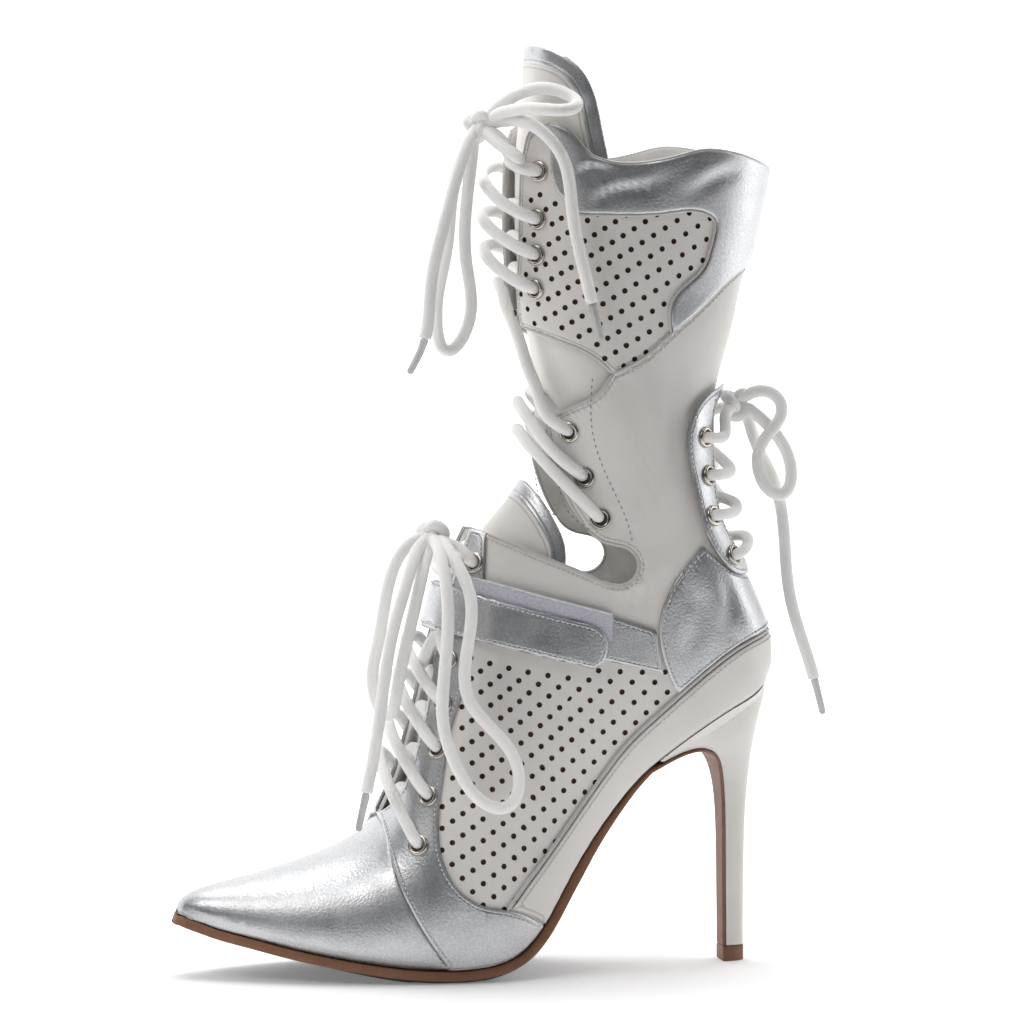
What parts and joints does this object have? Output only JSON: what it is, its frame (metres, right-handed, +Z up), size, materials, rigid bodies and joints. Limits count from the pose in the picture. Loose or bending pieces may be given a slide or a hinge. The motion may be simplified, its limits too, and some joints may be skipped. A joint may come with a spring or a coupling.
{
  "type": "heeled boot",
  "caption": "Pointed lace-up ankle boot with a laced shaft, an open cut-out between them, an ankle strap and a tall slender heel, for a left foot.",
  "frame": {"origin": "centre of the heel tip's underside, on the floor", "axes": "+Z up from the floor along the shaft, -X towards the toe, -Y towards the lateral side"},
  "size_m": [0.2477, 0.0867, 0.3419],
  "materials": {
    "white_leather": "smooth, semi-matte",
    "silver_leather": "metallic foil, fine grain",
    "sole_brown": "matte",
    "sock_lining": "matte",
    "loop_tape": "napped",
    "lace_white": "braided, matte",
    "nickel": "polished"
  },
  "bodies": {
    "root": {"ankle_band_lateral": "silver_leather", "ankle_band_medial": "silver_leather", "ankle_strap": "silver_leather", "collar": "silver_leather", "counter": "silver_leather", "eyestay_lateral": "silver_leather", "eyestay_medial": "silver_leather", "foxing": "white_leather", "heel": "white_leather", "heel_tip": "sole_brown", "insole": "sock_lining", "instep_eyelet_lateral_1": "nickel", "instep_eyelet_lateral_2": "nickel", "instep_eyelet_lateral_3": "nickel", "instep_eyelet_lateral_4": "nickel", "instep_eyelet_lateral_5": "nickel", "instep_eyelet_lateral_6": "nickel", "instep_eyelet_medial_1": "nickel", "instep_eyelet_medial_2": "nickel", "instep_eyelet_medial_3": "nickel", "instep_eyelet_medial_4": "nickel", "instep_eyelet_medial_5": "nickel", "instep_eyelet_medial_6": "nickel", "instep_lace": "lace_white", "instep_lace_bow": "lace_white", "instep_tongue": "white_leather", "loop_tape": "loop_tape", "lower_eyelet_lateral_1": "nickel", "lower_eyelet_lateral_2": "nickel", "lower_eyelet_lateral_3": "nickel", "lower_eyelet_medial_1": "nickel", "lower_eyelet_medial_2": "nickel", "lower_eyelet_medial_3": "nickel", "outsole": "sole_brown", "rear_eyelet_lateral_1": "nickel", "rear_eyelet_lateral_2": "nickel", "rear_eyelet_lateral_3": "nickel", "rear_eyelet_lateral_4": "nickel", "rear_eyelet_medial_1": "nickel", "rear_eyelet_medial_2": "nickel", "rear_eyelet_medial_3": "nickel", "rear_eyelet_medial_4": "nickel", "rear_eyestay_lateral": "silver_leather", "rear_eyestay_medial": "silver_leather", "rear_lace": "lace_white", "rear_lace_bow": "lace_white", "shaft_lace": "lace_white", "shaft_lace_bow": "lace_white", "shaft_tongue": "white_leather", "upper": "white_leather", "upper_eyelet_lateral_1": "nickel", "upper_eyelet_lateral_2": "nickel", "upper_eyelet_lateral_3": "nickel", "upper_eyelet_lateral_4": "nickel", "upper_eyelet_medial_1": "nickel", "upper_eyelet_medial_2": "nickel", "upper_eyelet_medial_3": "nickel", "upper_eyelet_medial_4": "nickel"}
  },
  "joints": []
}
